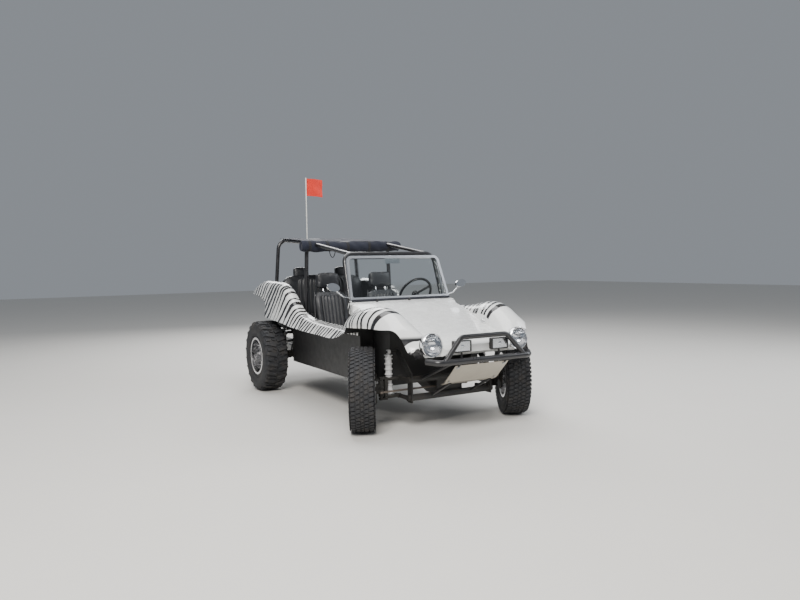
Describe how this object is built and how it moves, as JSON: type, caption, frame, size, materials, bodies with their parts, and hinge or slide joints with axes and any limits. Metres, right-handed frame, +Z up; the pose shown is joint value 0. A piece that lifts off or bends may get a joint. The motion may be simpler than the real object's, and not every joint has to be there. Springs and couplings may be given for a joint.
{
  "type": "dune buggy",
  "caption": "Open four-seat dune buggy with a striped shell, tube cage, rear engine, steered front wheels and wide rear sand tyres.",
  "frame": {"origin": "on the ground at the middle of the overall box, in plan", "axes": "+X to the vehicle's left, -Y to the front, +Z up"},
  "size_m": [1.9534, 3.78, 2.4408],
  "materials": {
    "body_white": "gloss",
    "body_black": "satin",
    "frame_black": "satin",
    "cage_black": "gloss",
    "silver": "satin",
    "clear_glass": "gloss",
    "canvas": "matte",
    "vinyl": "satin",
    "iron": "matte",
    "grip_black": "matte",
    "shock_paint": "gloss",
    "steel": "satin",
    "engine_alloy": "matte",
    "bare_aluminium": "satin",
    "chrome": "gloss",
    "amber": "gloss",
    "red_lens": "gloss",
    "whip_white": "gloss",
    "flag_red": "matte",
    "tyre": "matte",
    "rim_silver": "gloss"
  },
  "bodies": {
    "chassis": {"hood": "body_white", "front_fenders": "body_white", "nose": "body_white", "side_panel_left": "body_white", "side_panel_right": "body_white", "rear_deck": "body_white", "tub_sides": "body_black", "rear_bulkhead": "body_black", "footwell": "body_black", "floor_pan": "frame_black", "dash": "body_black", "windscreen_frame": "silver", "windscreen_glass": "clear_glass", "cage_front": "cage_black", "cage_main": "cage_black", "cage_rear": "cage_black", "cage_rails": "cage_black", "roof_canopy": "canvas", "roof_roll": "canvas", "seat_front_left": "vinyl", "seat_front_right": "vinyl", "seat_rear": "vinyl", "seat_runners": "frame_black", "steering_column": "frame_black", "front_beam": "frame_black", "front_arms": "iron", "shocks": "shock_paint", "rear_axle": "iron", "engine": "engine_alloy", "engine_cooling": "frame_black", "exhaust": "steel", "rear_guard": "cage_black", "front_bumper": "cage_black", "lamp_loop": "cage_black", "skid_plate": "bare_aluminium", "headlamps": "chrome", "fog_lamps": "grip_black", "lamp_lenses": "clear_glass", "signal_lamps": "amber", "tail_lamps": "red_lens", "mirrors": "chrome", "whip_pole": "whip_white", "whip_flag": "flag_red"},
    "wheel_front_left": {"tyre_front_left": "tyre", "rim_front_left": "rim_silver"},
    "wheel_front_right": {"tyre_front_right": "tyre", "rim_front_right": "rim_silver"},
    "wheel_rear_left": {"tyre_rear_left": "tyre", "rim_rear_left": "rim_silver"},
    "wheel_rear_right": {"tyre_rear_right": "tyre", "rim_rear_right": "rim_silver"},
    "knuckle_left": {"knuckle_left": "iron"},
    "knuckle_right": {"knuckle_right": "iron"},
    "pitman_arm": {"pitman_arm": "iron"},
    "tie_rod_left": {"tie_rod_left": "steel"},
    "tie_rod_right": {"tie_rod_right": "steel"},
    "steering_wheel": {"steering_wheel": "grip_black"}
  },
  "joints": [
    {"name": "steer_left", "type": "hinge", "parent": "chassis", "child": "knuckle_left", "pos_m": [0.6, -1.216, 0.355], "axis": [0, 0, 1], "range_deg": [-2, 58]},
    {"name": "steer_right", "type": "hinge", "parent": "chassis", "child": "knuckle_right", "pos_m": [-0.6, -1.216, 0.355], "axis": [0, 0, 1], "range_deg": [-2, 58]},
    {"name": "pitman_turn", "type": "hinge", "parent": "chassis", "child": "pitman_arm", "pos_m": [0.25, -1.216, 0.355], "axis": [0, 0, 1], "range_deg": [-2, 58]},
    {"name": "tie_rod_left_pivot", "type": "hinge", "parent": "knuckle_left", "child": "tie_rod_left", "pos_m": [0.55775, -1.29547, 0.3695], "axis": [0, 0, 1], "range_deg": [-58, 2]},
    {"name": "tie_rod_right_pivot", "type": "hinge", "parent": "knuckle_right", "child": "tie_rod_right", "pos_m": [-0.64225, -1.29547, 0.3405], "axis": [0, 0, 1], "range_deg": [-58, 2]},
    {"name": "steering_wheel_turn", "type": "hinge", "parent": "chassis", "child": "steering_wheel", "pos_m": [0.33, -0.266, 1.08], "axis": [0, 0.8746, 0.4848], "range_deg": [-28, 812]},
    {"name": "wheel_front_left_spin", "type": "hinge", "parent": "knuckle_left", "child": "wheel_front_left", "pos_m": [0.73686, -1.28877, 0.355], "axis": [0.8829, -0.4695, 0], "continuous": true},
    {"name": "wheel_front_right_spin", "type": "hinge", "parent": "knuckle_right", "child": "wheel_front_right", "pos_m": [-0.73686, -1.14323, 0.355], "axis": [0.8829, -0.4695, 0], "continuous": true},
    {"name": "wheel_rear_left_spin", "type": "hinge", "parent": "chassis", "child": "wheel_rear_left", "pos_m": [0.76, 1.184, 0.387], "axis": [1, 0, 0], "continuous": true},
    {"name": "wheel_rear_right_spin", "type": "hinge", "parent": "chassis", "child": "wheel_rear_right", "pos_m": [-0.76, 1.184, 0.387], "axis": [1, 0, 0], "continuous": true}
  ],
  "couplings": [
    {"joint": "steer_right", "follows": "steer_left", "ratio": 1},
    {"joint": "pitman_turn", "follows": "steer_left", "ratio": 1},
    {"joint": "tie_rod_left_pivot", "follows": "steer_left", "ratio": -1},
    {"joint": "tie_rod_right_pivot", "follows": "steer_left", "ratio": -1},
    {"joint": "steering_wheel_turn", "follows": "steer_left", "ratio": 14}
  ]
}
